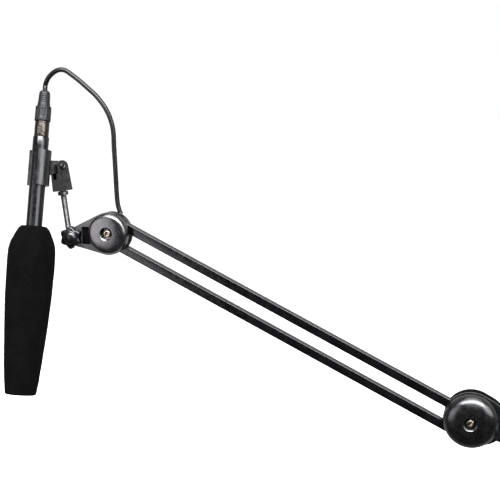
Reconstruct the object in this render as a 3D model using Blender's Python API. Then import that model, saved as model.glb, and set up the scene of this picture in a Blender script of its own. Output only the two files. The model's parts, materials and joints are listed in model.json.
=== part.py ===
"""Boom microphone stand: desk clamp, two parallel-tube arms, microphone set.

Metres, +Z up. The arms lie in the X-Z plane, hub axes run along Y and the
front is -Y. The origin is on the swivel axis at the top of the desk.
"""

import math

import bmesh
import bpy
from mathutils import Matrix, Vector

MM = 0.001
GAP = 0.0003

# Arms
TUBE = 0.0115
WALL = 0.0012
PIVOT_HALF = 0.0157
TUBE_OVER = 0.008
LOWER_LENGTH = 0.50
LOWER_RISE = math.radians(25)
UPPER_LENGTH = 0.509
UPPER_FALL = math.radians(26)
ELBOW_OUT = 0.0165
ELBOW_DOWN = 0.0042
ELBOW_LIFT = 0.003
ELBOW_PLATE_R = 0.035
ELBOW_PLATE_TAIL = ((0.0125, -0.0015), 0.030)
ELBOW_POST = (0, -0.026)
SPRING_R = 0.0034
SPRING_WIRE = 0.0006
SPRING_TURNS = 16

# Hubs
PLATE_IN = 0.0065
PLATE_OUT = 0.0095
COVER_DEPTH = 0.0045
PIN_R = 0.003
SCREW_R = 0.0025
SCREW_HEAD_R = 0.005
BASE_Z = 0.096

# Microphone set
HEAD_CAP_AT = Vector((-0.0030, 0, 0))
KNOB_AT = Vector((-0.0555, 0, -0.0070))
ROD_AT = Vector((-0.0656, 0, -0.0057))
ROD_R = 0.004
POST_LEAN = math.radians(7.8)
YOKE_TURN = math.radians(54.5)
CLIP_TILT = math.radians(14.9)
YOKE_T = 0.0924
YOKE_HALF_WIDE = 0.0083
YOKE_FOOT_HALF = 0.0098
YOKE_HALF_DEEP = 0.0099
YOKE_SLOT_HALF = 0.0047
STUD_R = 0.004
MIC_OUT = 0.030
MIC_R = 0.0106
MIC_WALL = 0.0012
MIC_TOP = 0.0358
CLIP_R = 0.0154
CLIP_MOUTH = 54
LATCH_TURN = math.radians(9)
BOOT_TOP = 0.0975

# Cable, from the gland in the head hub to the connector's boot
CABLE_R = 0.0032
CABLE_POINTS = 38
GLAND_OFFSET = Vector((0.0088, 0, 0.0256))
GLAND_AXIS = Vector((-0.33, 0, 0.944)).normalized()
CABLE_ROUTE = (
    (0.0058, 0, 0.0345),
    (0.0044, 0, 0.0444),
    (0.0034, 0, 0.0644),
    (0.0024, 0, 0.0895),
    (0.0013, 0, 0.1146),
    (0.0006, 0, 0.1343),
    (-0.0036, 0, 0.1512),
    (-0.0112, -0.0003, 0.1663),
    (-0.0228, -0.0006, 0.1805),
    (-0.0340, -0.0010, 0.1903),
    (-0.0438, -0.0014, 0.1987),
    (-0.0553, -0.0018, 0.2073),
    (-0.0635, -0.0022, 0.2127),
    (-0.0700, -0.0026, 0.2143),
    (-0.0775, -0.0030, 0.2127),
    (-0.0843, -0.0034, 0.2081),
    (-0.0895, -0.0038, 0.2022),
)

# Clamp
JAW_HALF = 0.021
SOCKET_R = 0.0063
SCREW_AT = Vector((-0.004, 0, 0))
BAR_Z = -0.1215

BASE = Vector((0, 0, BASE_Z))
LOWER_DIR = Vector((-math.cos(LOWER_RISE), 0, math.sin(LOWER_RISE)))
LOWER_TOP = BASE + LOWER_DIR * LOWER_LENGTH
ELBOW = LOWER_TOP - Vector((ELBOW_OUT, 0, ELBOW_LIFT))
UPPER_DIR = Vector((math.cos(UPPER_FALL), 0, -math.sin(UPPER_FALL)))
UPPER_FOOT = ELBOW - Vector((ELBOW_OUT, 0, ELBOW_DOWN))
HEAD = UPPER_FOOT - UPPER_DIR * UPPER_LENGTH

POST_UP = Vector((-math.sin(POST_LEAN), 0, math.cos(POST_LEAN)))
POST_X = Vector((math.cos(POST_LEAN), 0, math.sin(POST_LEAN)))
FACE_Y = Vector((0, 1, 0))
EAR_OUT = POST_X * math.sin(YOKE_TURN) - FACE_Y * math.cos(YOKE_TURN)
TO_MIC = -POST_X * math.cos(YOKE_TURN) - FACE_Y * math.sin(YOKE_TURN)
MIC_UP = POST_UP * math.cos(CLIP_TILT) - TO_MIC * math.sin(CLIP_TILT)
CLIP_OUT = EAR_OUT.cross(MIC_UP).normalized()
ROD_FOOT = HEAD + ROD_AT
YOKE_PIVOT = ROD_FOOT + POST_UP * YOKE_T
MIC_MID = YOKE_PIVOT + CLIP_OUT * MIC_OUT
GLAND_AT = HEAD + GLAND_OFFSET
FRONT = Vector((math.sin(LATCH_TURN), -math.cos(LATCH_TURN), 0))
LATCH_AIM = (FRONT - MIC_UP * FRONT.dot(MIC_UP)).normalized()

for old in list(bpy.data.objects):
    bpy.data.objects.remove(old)

PAINTS = {
    "black_paint": ((0.012, 0.012, 0.013), 0.42, 0.0),
    "grey_paint": ((0.16, 0.16, 0.165), 0.38, 0.2),
    "black_plastic": ((0.012, 0.012, 0.013), 0.3, 0.0),
    "nickel": ((0.55, 0.5, 0.42), 0.25, 1.0),
    "steel": ((0.45, 0.45, 0.44), 0.35, 1.0),
    "foam": ((0.008, 0.008, 0.008), 0.95, 0.0),
    "rubber": ((0.015, 0.015, 0.015), 0.7, 0.0),
    "cable": ((0.012, 0.012, 0.013), 0.5, 0.0),
    "mic_paint": ((0.01, 0.01, 0.011), 0.25, 0.3),
}


def paint(name):
    found = bpy.data.materials.get(name)
    if found:
        return found
    colour, rough, metal = PAINTS[name]
    material = bpy.data.materials.new(name)
    material.use_nodes = True
    shader = material.node_tree.nodes["Principled BSDF"]
    shader.inputs["Base Color"].default_value = (*colour, 1)
    shader.inputs["Roughness"].default_value = rough
    shader.inputs["Metallic"].default_value = metal
    return material


def frame_at(point, x, y, z):
    return Matrix(
        (
            (x.x, y.x, z.x, point.x),
            (x.y, y.y, z.y, point.y),
            (x.z, y.z, z.z, point.z),
            (0, 0, 0, 1),
        )
    )


def axis_frame(point, along):
    """A frame whose Z runs along the given direction."""
    z = along.normalized()
    side = Vector((0, 1, 0)) if abs(z.y) < 0.9 else Vector((1, 0, 0))
    x = side.cross(z).normalized()
    return frame_at(point, x, z.cross(x), z)


def front_frame(point):
    """X right, Y up and Z towards the front."""
    return frame_at(point, Vector((1, 0, 0)), Vector((0, 0, 1)), Vector((0, -1, 0)))


def rear_frame(point):
    return frame_at(point, Vector((-1, 0, 0)), Vector((0, 0, 1)), Vector((0, 1, 0)))


YOKE_FRAME = frame_at(YOKE_PIVOT, POST_UP.cross(EAR_OUT), POST_UP, EAR_OUT)
MIC_FRAME = frame_at(MIC_MID, CLIP_OUT, MIC_UP.cross(CLIP_OUT), MIC_UP)
LUG_FRAME = frame_at(MIC_MID, CLIP_OUT, MIC_UP, CLIP_OUT.cross(MIC_UP))
LATCH_FRAME = frame_at(MIC_MID, LATCH_AIM.cross(MIC_UP), LATCH_AIM, MIC_UP)
GLAND = frame_at(GLAND_AT, FACE_Y.cross(GLAND_AXIS), FACE_Y, GLAND_AXIS)


def finish(name, bm, frame, material, smooth=True):
    bmesh.ops.remove_doubles(bm, verts=bm.verts, dist=1e-6)
    bmesh.ops.recalc_face_normals(bm, faces=bm.faces)
    mesh = bpy.data.meshes.new(name)
    bm.to_mesh(mesh)
    bm.free()
    obj = bpy.data.objects.new(name, mesh)
    obj.matrix_world = frame
    bpy.context.scene.collection.objects.link(obj)
    mesh.materials.append(paint(material))
    for face in mesh.polygons:
        face.use_smooth = smooth
    return obj


def revolve(name, profile, frame, material, segments=24):
    """A closed (radius, height) profile turned about the frame's Z."""
    bm = bmesh.new()
    rings = []
    for radius, height in profile:
        if radius < 1e-7:
            rings.append([bm.verts.new((0, 0, height))])
            continue
        ring = []
        for i in range(segments):
            turn = 2 * math.pi * i / segments
            ring.append(
                bm.verts.new((radius * math.cos(turn), radius * math.sin(turn), height))
            )
        rings.append(ring)
    for a, b in zip(rings, rings[1:] + rings[:1]):
        if len(a) == 1 and len(b) == 1:
            continue
        for i in range(segments):
            j = (i + 1) % segments
            if len(a) == 1:
                bm.faces.new((a[0], b[i], b[j]))
            elif len(b) == 1:
                bm.faces.new((a[i], a[j], b[0]))
            else:
                bm.faces.new((a[i], a[j], b[j], b[i]))
    return finish(name, bm, frame, material)


def prism(name, outline, low, high, frame, material):
    """A flat outline carried from low to high along the frame's Z."""
    bm = bmesh.new()
    bottom = [bm.verts.new((x, y, low)) for x, y in outline]
    top = [bm.verts.new((x, y, high)) for x, y in outline]
    bm.faces.new(bottom)
    bm.faces.new(top)
    for i in range(len(outline)):
        j = (i + 1) % len(outline)
        bm.faces.new((bottom[i], bottom[j], top[j], top[i]))
    return finish(name, bm, frame, material, smooth=False)


def box(name, low, high, frame, material):
    outline = [(low[0], low[1]), (high[0], low[1]), (high[0], high[1]), (low[0], high[1])]
    return prism(name, outline, low[2], high[2], frame, material)


def rod(name, radius, low, high, frame, material, segments=16, edge=0.0004):
    profile = [
        (0, low),
        (radius - edge, low),
        (radius, low + edge),
        (radius, high - edge),
        (radius - edge, high),
        (0, high),
    ]
    return revolve(name, profile, frame, material, segments)


def plain_rod(radius, low, high, frame, segments=16):
    profile = [(0, low), (radius, low), (radius, high), (0, high)]
    return revolve("cutter", profile, frame, "steel", segments)


def combined(obj, other, operation):
    """The object after one Boolean with another, which is used up."""
    step = obj.modifiers.new("step", "BOOLEAN")
    step.solver = "EXACT"
    step.operation = operation
    step.object = other
    bpy.context.view_layer.update()
    graph = bpy.context.evaluated_depsgraph_get()
    mesh = bpy.data.meshes.new_from_object(obj.evaluated_get(graph))
    obj.modifiers.clear()
    obj.data = mesh
    bpy.data.objects.remove(other)
    return obj


def cut(obj, *cutters):
    for cutter in cutters:
        combined(obj, cutter, "DIFFERENCE")
    return obj


def arc(centre, radius, start, end, steps):
    points = []
    for i in range(steps + 1):
        turn = math.radians(start + (end - start) * i / steps)
        points.append(
            (centre[0] + radius * math.cos(turn), centre[1] + radius * math.sin(turn))
        )
    return points


def drop_outline(a, ra, b, rb, steps=10):
    """The outline round two circles and the straight tangents between them."""
    away = Vector((b[0] - a[0], b[1] - a[1]))
    aim = math.degrees(math.atan2(away.y, away.x))
    spread = math.degrees(math.acos((ra - rb) / away.length))
    big = arc(a, ra, aim + spread, aim + 360 - spread, steps * 2)
    small = arc(b, rb, aim - spread, aim + spread, steps)
    return big + small


def hub_plates(prefix, centre, outline, holes, material="black_paint", window=None):
    for side, frame, flip in (
        ("front", front_frame(centre), 1),
        ("rear", rear_frame(centre), -1),
    ):
        shape = [(x * flip, y) for x, y in outline]
        plate = prism(f"{prefix}_plate_{side}", shape, PLATE_IN, PLATE_OUT, frame, material)
        for x, y, radius in holes:
            at = frame @ Matrix.Translation((x * flip, y, 0))
            cut(plate, plain_rod(radius, PLATE_IN - MM, PLATE_OUT + MM, at, 10))
        if window:
            (left, low), (right, high) = window
            left, right = sorted((left * flip, right * flip))
            opening = ((left, low, PLATE_IN - MM), (right, high, PLATE_OUT + MM))
            cut(plate, box("opening", *opening, frame, material))


def cap_screw(name, at, seat):
    """A slotted screw through a cap, its head resting at the given height."""
    profile = [
        (0, -0.0027 - GAP),
        (SCREW_R, -0.0027 - GAP),
        (SCREW_R, seat + GAP),
        (SCREW_HEAD_R, seat + GAP),
        (SCREW_HEAD_R, seat + 0.002),
        (SCREW_HEAD_R - 0.0012, seat + 0.003),
        (0, seat + 0.0033),
    ]
    head = revolve(name, profile, at, "nickel", 12)
    slot_low = (-SCREW_HEAD_R, -0.0005, seat + 0.0022)
    slot_high = (SCREW_HEAD_R, 0.0005, seat + 0.005)
    cut(head, box("slot", slot_low, slot_high, at, "nickel"))


def hub_caps(prefix, centre, radius, depth):
    """A deep domed cap in front and a low cover behind."""
    wall = 0.0024
    floor = depth - 0.0062
    recess = 0.0076
    profile = [
        (SCREW_R + GAP, 0),
        (SCREW_R + GAP, floor),
        (recess, floor),
        (recess, depth - 0.0007),
        (recess + 0.0012, depth),
        (radius * 0.62, depth - 0.0003),
        (radius * 0.86, depth - 0.0014),
        (radius - 0.001, depth - 0.0042),
        (radius, depth - 0.007),
        (radius, 0),
        (radius - wall, 0),
        (radius - wall, depth - 0.0075),
        (radius * 0.8, depth - 0.004),
        (recess + 0.0024, depth - 0.0028),
        (recess + 0.0024, 0),
    ]
    at = front_frame(centre) @ Matrix.Translation((0, 0, PLATE_OUT + GAP))
    revolve(f"{prefix}_cap_front", profile, at, "black_plastic", 26)
    cap_screw(f"{prefix}_cap_screw_front", at, floor)
    small = radius * 0.68
    cover = [
        (SCREW_R + GAP, 0),
        (SCREW_R + GAP, COVER_DEPTH),
        (small - 0.0015, COVER_DEPTH),
        (small, COVER_DEPTH - 0.0015),
        (small, 0),
    ]
    at = rear_frame(centre) @ Matrix.Translation((0, 0, PLATE_OUT + GAP))
    revolve(f"{prefix}_cap_rear", cover, at, "black_plastic", 24)
    cap_screw(f"{prefix}_cap_screw_rear", at, COVER_DEPTH)


def pin(name, centre, x, z):
    frame = front_frame(centre + Vector((x, 0, z)))
    reach = PLATE_OUT - GAP
    rod(name, PIN_R, -reach, reach, frame, "steel", 10)


def square_tube(name, start, along, length):
    """A hollow square tube drilled for a pivot pin near each end."""
    frame = frame_at(start, FACE_Y.cross(along), FACE_Y, along)
    half = TUBE / 2
    edge = 0.0012
    outline = []
    for cx, cy, turn in ((1, 1, 0), (-1, 1, 90), (-1, -1, 180), (1, -1, 270)):
        centre = (cx * (half - edge), cy * (half - edge))
        outline += arc(centre, edge, turn, turn + 90, 2)
    tube = prism(name, outline, -TUBE_OVER, length + TUBE_OVER, frame, "black_paint")
    inner = half - WALL
    bore = box(
        "bore",
        (-inner, -inner, -TUBE_OVER - MM),
        (inner, inner, length + TUBE_OVER + MM),
        frame,
        "steel",
    )
    cut(tube, bore)
    for at in (0, length):
        place = front_frame(start + along * at)
        cut(tube, plain_rod(PIN_R + GAP, -TUBE, TUBE, place, 8))
    return tube


def spring(name, start, along, length):
    """A coil along the inside of a tube, as a closed triangular wire."""
    frame = axis_frame(start, along)
    sides = 3
    per_turn = 7
    steps = SPRING_TURNS * per_turn
    bm = bmesh.new()
    rings = []
    for i in range(steps + 1):
        turn = 2 * math.pi * i / per_turn
        height = length * i / steps
        out = Vector((math.cos(turn), math.sin(turn), 0))
        ring = []
        for k in range(sides):
            tilt = 2 * math.pi * k / sides
            reach = SPRING_R + SPRING_WIRE * math.cos(tilt)
            point = out * reach
            point.z = height + SPRING_WIRE * math.sin(tilt)
            ring.append(bm.verts.new(point))
        rings.append(ring)
    for a, b in zip(rings, rings[1:]):
        for k in range(sides):
            j = (k + 1) % sides
            bm.faces.new((a[k], a[j], b[j], b[k]))
    bm.faces.new(rings[0])
    bm.faces.new(rings[-1])
    finish(name, bm, frame, "steel")


def arm(prefix, foot, along, length):
    for tag, side in (("a", 1), ("b", -1)):
        start = foot + Vector((0, 0, side * PIVOT_HALF))
        square_tube(f"{prefix}_tube_{tag}", start, along, length)
    start = foot + Vector((0, 0, -PIVOT_HALF)) + along * (length * 0.3)
    spring(f"{prefix}_spring", start, along, length * 0.4)


def clamp():
    """The C-shaped frame on the desk edge, its screw, pad and bar."""
    outline = [
        (-0.040, 0.003),
        (0.019, 0.003),
        (0.019, -0.066),
        (-0.020, -0.066),
        (-0.024, -0.070),
        (-0.024, -0.080),
        (-0.020, -0.084),
        (0.024, -0.084),
        (0.030, -0.078),
        (0.030, 0.008),
        (0.024, 0.014),
        (-0.036, 0.014),
        (-0.040, 0.010),
    ]
    origin = Matrix.Identity(4)
    body = prism("clamp_frame", outline, -JAW_HALF, JAW_HALF, front_frame(Vector()), "black_paint")
    boss = [(0, 0.010), (0.0175, 0.010), (0.0175, 0.016), (0.015, 0.019)]
    boss += [(0.015, 0.045), (0, 0.045)]
    combined(body, revolve("boss", boss, origin, "black_paint", 28), "UNION")
    under = Matrix.Translation(SCREW_AT)
    cut(body, plain_rod(SOCKET_R, 0.0045, 0.052, Matrix.Rotation(0.1, 4, "Z"), 18))
    cut(body, plain_rod(SOCKET_R, -0.09, -0.06, under, 16))
    box("desk_pad", (-0.038, -0.0195, 0), (0.017, 0.0195, 0.0027), origin, "rubber")
    cup = [(0, -0.040), (0.0155, -0.040), (0.0175, -0.0415), (0.0175, -0.0445), (0.008, -0.047)]
    cup += [(0.0078, -0.0555), (SOCKET_R, -0.0555), (SOCKET_R, -0.0495), (0, -0.0495)]
    revolve("pressure_pad", cup, under, "rubber", 24)
    thread = [(0, -0.0498), (0.0050, -0.0498)]
    ridges = 11
    pitch = 0.0049
    for i in range(ridges):
        thread.append((0.0059, -0.0555 - pitch * (i + 0.25)))
        thread.append((0.0048, -0.0555 - pitch * (i + 0.75)))
    thread += [(0.0048, -0.112), (0.0085, -0.113), (0.0085, -0.130), (0.0065, -0.132), (0, -0.132)]
    screw = revolve("clamp_screw", thread, under, "steel", 12)
    across = axis_frame(SCREW_AT + Vector((0, 0, BAR_Z)), FACE_Y)
    cut(screw, plain_rod(0.0033, -0.02, 0.02, across, 12))
    bar = [(0, -0.036), (0.0042, -0.0355), (0.0042, -0.0325), (0.0030, -0.032)]
    bar += [(0.0030, 0.032), (0.0042, 0.0325), (0.0042, 0.0355), (0, 0.036)]
    revolve("clamp_bar", bar, across, "steel", 12)


def base_hub():
    flat = front_frame(BASE)
    wide = PLATE_IN - GAP
    foot = box("base_core", (-0.013, -0.045, -wide), (0.013, -0.0275, wide), flat, "black_paint")
    stem = [(0, 0.006), (0.0052, 0.006), (0.006, 0.007), (0.006, 0.0453), (0.0145, 0.0453)]
    stem += [(0.0145, 0.0492), (0.0055, 0.0502), (0.0055, 0.056), (0, 0.056)]
    turned = revolve("stem", stem, Matrix.Identity(4), "black_paint", 24)
    combined(foot, turned, "UNION")
    bolt_z = -0.036
    across = front_frame(BASE + Vector((0, 0, bolt_z)))
    cut(foot, plain_rod(SCREW_R + GAP, -0.02, 0.02, across, 12))
    outline = drop_outline((0, 0), 0.030, (0, -0.032), 0.0125)
    holes = [
        (0, PIVOT_HALF, PIN_R + GAP),
        (0, -PIVOT_HALF, PIN_R + GAP),
        (0, 0, SCREW_R + GAP),
        (0, bolt_z, SCREW_R + GAP),
    ]
    hub_plates("base", BASE, outline, holes)
    hub_caps("base", BASE, 0.0285, 0.0155)
    pin("base_pin_a", BASE, 0, PIVOT_HALF)
    pin("base_pin_b", BASE, 0, -PIVOT_HALF)
    edge = PLATE_OUT + GAP
    top = edge + 0.003
    bolt = [(0, -top), (0.0042, -top), (0.0042, -edge), (SCREW_R, -edge)]
    bolt += [(SCREW_R, edge), (0.0042, edge), (0.0042, top), (0, top)]
    revolve("base_bolt", bolt, across, "nickel", 12)


def elbow_hub():
    outline = drop_outline((0, 0), ELBOW_PLATE_R, *ELBOW_PLATE_TAIL)
    spots = [
        (-ELBOW_OUT, PIVOT_HALF - ELBOW_DOWN),
        (-ELBOW_OUT, -PIVOT_HALF - ELBOW_DOWN),
        (ELBOW_OUT, PIVOT_HALF + ELBOW_LIFT),
        (ELBOW_OUT, -PIVOT_HALF + ELBOW_LIFT),
    ]
    holes = [(x, y, PIN_R + GAP) for x, y in spots] + [(0, 0, SCREW_R + GAP)]
    holes.append((*ELBOW_POST, SCREW_R + GAP))
    hub_plates("elbow", ELBOW, outline, holes)
    hub_caps("elbow", ELBOW, 0.0335, 0.020)
    for tag, (x, z) in zip("abcd", spots):
        pin(f"elbow_pin_{tag}", ELBOW, x, z)
    end = PLATE_OUT - GAP
    step = PLATE_IN - GAP
    profile = [(0, -end), (SCREW_R, -end), (SCREW_R, -step), (0.0048, -step)]
    profile += [(0.0048, step), (SCREW_R, step), (SCREW_R, end), (0, end)]
    at = front_frame(ELBOW + Vector((ELBOW_POST[0], 0, ELBOW_POST[1])))
    revolve("elbow_spacer", profile, at, "steel", 12)


def head_hub():
    knob = (KNOB_AT.x, KNOB_AT.z)
    outline = drop_outline((-0.006, -0.0015), 0.0285, knob, 0.0115)
    holes = [
        (0, PIVOT_HALF, PIN_R + GAP),
        (0, -PIVOT_HALF, PIN_R + GAP),
        (HEAD_CAP_AT.x, HEAD_CAP_AT.z, SCREW_R + GAP),
        (*knob, STUD_R + GAP),
        (-0.026, -0.004, SCREW_R + GAP),
    ]
    window = ((-0.0438, -0.0165), (-0.0305, 0.0070))
    hub_plates("head", HEAD, outline, holes, "grey_paint", window)
    hub_caps("head", HEAD + HEAD_CAP_AT, 0.0275, 0.0145)
    pin("head_pin_a", HEAD, 0, PIVOT_HALF)
    pin("head_pin_b", HEAD, 0, -PIVOT_HALF)
    flat = front_frame(HEAD)
    wide = PLATE_IN - GAP
    core = ((-0.0448, -0.0175, -wide), (-0.0185, 0.0080, wide))
    core = box("head_core", *core, flat, "black_plastic")
    across = front_frame(HEAD + Vector((-0.026, 0, -0.004)))
    cut(core, plain_rod(SCREW_R + GAP, -0.02, 0.02, across, 12))
    reach = PLATE_OUT - GAP
    rod("head_rivet", SCREW_R, -reach, reach, across, "steel", 10)
    block = box("cable_gland", (-0.004, -wide, -0.0014), (0.004, wide, 0.0014), GLAND, "rubber")
    cut(block, plain_rod(CABLE_R + GAP, -0.01, 0.01, GLAND, 14))


def head_knob():
    """The star knob in front of the plates and the stud that it pulls on."""
    at = front_frame(HEAD + KNOB_AT)
    lobes = 6
    steps = 36
    outline = []
    for i in range(steps):
        turn = 2 * math.pi * i / steps
        radius = 0.0139 - 0.0019 * math.cos(lobes * turn)
        outline.append((radius * math.cos(turn), radius * math.sin(turn)))
    star = prism("head_knob", outline, 0.0125, 0.0215, at, "black_plastic")
    dome = [(0, 0.010), (0.0085, 0.010), (0.0085, 0.0225), (0.006, 0.0248), (0, 0.0256)]
    combined(star, revolve("dome", dome, at, "black_plastic", 20), "UNION")
    cut(star, plain_rod(STUD_R + GAP, 0.009, 0.0215, at, 16))
    seat = -PLATE_OUT - GAP
    stud = [(0, -0.0145), (0.0075, -0.0145), (0.0075, seat), (STUD_R, seat)]
    stud += [(STUD_R, 0.0208), (0, 0.0208)]
    revolve("knob_stud", stud, at, "steel", 12)


def post():
    at = front_frame(HEAD + KNOB_AT)
    foot = (ROD_AT.x - KNOB_AT.x, 0)
    outline = drop_outline((0, 0), 0.0100, foot, 0.0072)
    wide = PLATE_IN - GAP
    block = prism("post_block", outline, -wide, wide, at, "black_paint")
    cut(block, plain_rod(STUD_R + GAP, -0.02, 0.02, at, 16))
    up = axis_frame(ROD_FOOT, POST_UP)
    cut(block, plain_rod(ROD_R + GAP, -0.0035, 0.02, up, 16))
    stem = [(0, -0.003), (ROD_R, -0.003), (ROD_R, 0.0538), (0.0071, 0.0542), (0.0071, 0.0588)]
    stem += [(0.0048, 0.0592), (ROD_R, 0.0597), (ROD_R, 0.0700), (0, 0.0700)]
    revolve("post_rod", stem, up, "steel", 16)


def yoke():
    half = YOKE_HALF_WIDE
    deep = YOKE_HALF_DEEP
    outline = [(-YOKE_FOOT_HALF, -0.0325), (YOKE_FOOT_HALF, -0.0325)]
    outline += arc((0, 0), half, 0, 180, 14)
    body = prism("yoke", outline, -deep, deep, YOKE_FRAME, "black_paint")
    slot = ((-0.02, -0.0165, -YOKE_SLOT_HALF), (0.02, 0.02, YOKE_SLOT_HALF))
    cut(body, box("slot", *slot, YOKE_FRAME, "steel"))
    cut(body, plain_rod(SCREW_R + GAP, -0.02, 0.02, YOKE_FRAME, 12))
    up = axis_frame(ROD_FOOT, POST_UP)
    cut(body, plain_rod(ROD_R + GAP, 0.05, 0.0705, up, 16))
    front = deep + GAP
    screw = [(0, -0.0165), (SCREW_R, -0.0165), (SCREW_R, front), (0.0046, front)]
    screw += [(0.0046, front + 0.0012), (0.0034, front + 0.0024), (0, front + 0.0027)]
    head = revolve("yoke_screw", screw, YOKE_FRAME, "nickel", 16)
    slot_low = (-0.006, -0.0005, front + 0.0014)
    cut(head, box("slot", slot_low, (0.006, 0.0005, 0.02), YOKE_FRAME, "nickel"))
    nut = arc((0, 0), 0.0052, 0, 360, 6)[:-1]
    body = prism("yoke_nut", nut, -front - 0.004, -front, YOKE_FRAME, "nickel")
    cut(body, plain_rod(SCREW_R + GAP, -0.03, 0, YOKE_FRAME, 12))


def clip():
    """The open sleeve that grips the microphone, with its lug in the yoke."""
    start = CLIP_MOUTH
    end = 360 - CLIP_MOUTH
    outline = arc((0, 0), CLIP_R, start, end, 28) + arc((0, 0), MIC_R + GAP, end, start, 28)
    body = prism("clip", outline, -0.0293, 0.0180, MIC_FRAME, "black_plastic")
    lug = arc((-MIC_OUT, 0), 0.0078, 90, 270, 12) + [(-0.0130, -0.0145), (-0.0130, 0.0060)]
    combined(body, prism("lug", lug, -0.0043, 0.0043, LUG_FRAME, "steel"), "UNION")
    across = LUG_FRAME @ Matrix.Translation((-MIC_OUT, 0, 0))
    cut(body, plain_rod(SCREW_R + GAP, -0.02, 0.02, across, 12))
    for face in body.data.polygons:
        face.use_smooth = False


def microphone():
    inner = MIC_R - MIC_WALL
    tube = [
        (inner, -0.2910),
        (MIC_R, -0.2910),
        (MIC_R, MIC_TOP - 0.0005),
        (MIC_R - 0.0006, MIC_TOP),
        (0, MIC_TOP),
        (0, MIC_TOP - 0.0040),
        (inner, MIC_TOP - 0.0040),
    ]
    revolve("microphone", tube, MIC_FRAME, "mic_paint", 24)
    bore = MIC_R + GAP
    foam = [
        (bore, -0.0833),
        (0.0165, -0.0833),
        (0.0178, -0.0846),
        (0.0213, -0.0886),
        (0.0252, -0.0966),
        (0.0288, -0.1046),
        (0.0306, -0.1125),
        (0.0312, -0.1217),
        (0.0312, -0.1534),
        (0.0301, -0.1850),
        (0.0284, -0.2164),
        (0.0261, -0.2480),
        (0.0235, -0.2793),
        (0.0215, -0.2975),
        (0.0206, -0.3038),
        (0.0196, -0.3052),
        (0, -0.3052),
        (0, -0.2930),
        (bore, -0.2920),
    ]
    revolve("foam_windscreen", foam, MIC_FRAME, "foam", 24)


def connector():
    low = MIC_TOP + GAP
    shell = [(0, low), (0.0096, low), (0.0096, 0.0556), (0.0088, 0.0563), (0, 0.0563)]
    revolve("xlr_shell", shell, MIC_FRAME, "nickel", 20)
    grip = [(0, 0.0566), (0.0100, 0.0566), (0.0106, 0.0578), (0.0106, 0.0752), (0.0098, 0.0764)]
    revolve("xlr_grip", grip + [(0, 0.0764)], MIC_FRAME, "rubber", 20)
    boot = [(0, 0.0767), (0.0085, 0.0767), (0.0082, 0.0800), (0.0077, 0.0860), (0.0073, 0.0925)]
    boot += [(0.0062, 0.0965), (0.0048, BOOT_TOP), (0, BOOT_TOP)]
    revolve("xlr_boot", boot, MIC_FRAME, "rubber", 16)
    tab = ((-0.0026, 0.0100, 0.0380), (0.0026, 0.0114, 0.0500))
    box("xlr_latch", *tab, LATCH_FRAME, "steel")


def smooth_route(points, count):
    """Even points along a smooth curve through the given ones."""
    parts = 16
    fine = []
    for i in range(len(points) - 1):
        before = points[max(i - 1, 0)]
        a, b = points[i], points[i + 1]
        after = points[min(i + 2, len(points) - 1)]
        for k in range(parts):
            t = k / parts
            line = 2 * a + (b - before) * t
            line += (2 * before - 5 * a + 4 * b - after) * t * t
            line += (3 * a - before - 3 * b + after) * t * t * t
            fine.append(line * 0.5)
    fine.append(points[-1])
    run = [0.0]
    for a, b in zip(fine, fine[1:]):
        run.append(run[-1] + (b - a).length)
    route = []
    k = 0
    for i in range(count):
        want = run[-1] * i / (count - 1)
        while k < len(run) - 2 and run[k + 1] < want:
            k += 1
        share = (want - run[k]) / max(run[k + 1] - run[k], 1e-9)
        route.append(fine[k].lerp(fine[k + 1], min(share, 1)))
    return route


def mic_cable():
    """The lead from the gland at the head to the connector's boot."""
    start = MIC_MID + MIC_UP * (BOOT_TOP + GAP)
    route = [GLAND_AT + GLAND_AXIS * reach for reach in (-0.0014, 0.003)]
    route += [HEAD + Vector(point) for point in CABLE_ROUTE]
    route += [start + MIC_UP * reach for reach in (0.008, 0.004, 0)]
    points = smooth_route(route, CABLE_POINTS)
    data = bpy.data.curves.new("mic_cable", "CURVE")
    data.dimensions = "3D"
    data.bevel_depth = CABLE_R
    data.bevel_resolution = 2
    data.use_fill_caps = True
    spline = data.splines.new("POLY")
    spline.points.add(len(points) - 1)
    for slot, point in zip(spline.points, points):
        slot.co = (*point, 1)
    obj = bpy.data.objects.new("mic_cable", data)
    bpy.context.scene.collection.objects.link(obj)
    data.materials.append(paint("cable"))


clamp()
base_hub()
arm("lower", BASE, LOWER_DIR, LOWER_LENGTH)
elbow_hub()
arm("upper", HEAD, UPPER_DIR, UPPER_LENGTH)
head_hub()
head_knob()
post()
yoke()
clip()
microphone()
connector()
mic_cable()
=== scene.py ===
"""Looks of the boom microphone stand: fine meshes, materials, light and camera.

Metres, +Z up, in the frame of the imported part: the arms lie in the X-Z plane
and the front is -Y. Every round piece is turned or lofted about its own Z.
"""

import json
import math

import bmesh
import bpy
from mathutils import Matrix, Vector, noise


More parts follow.
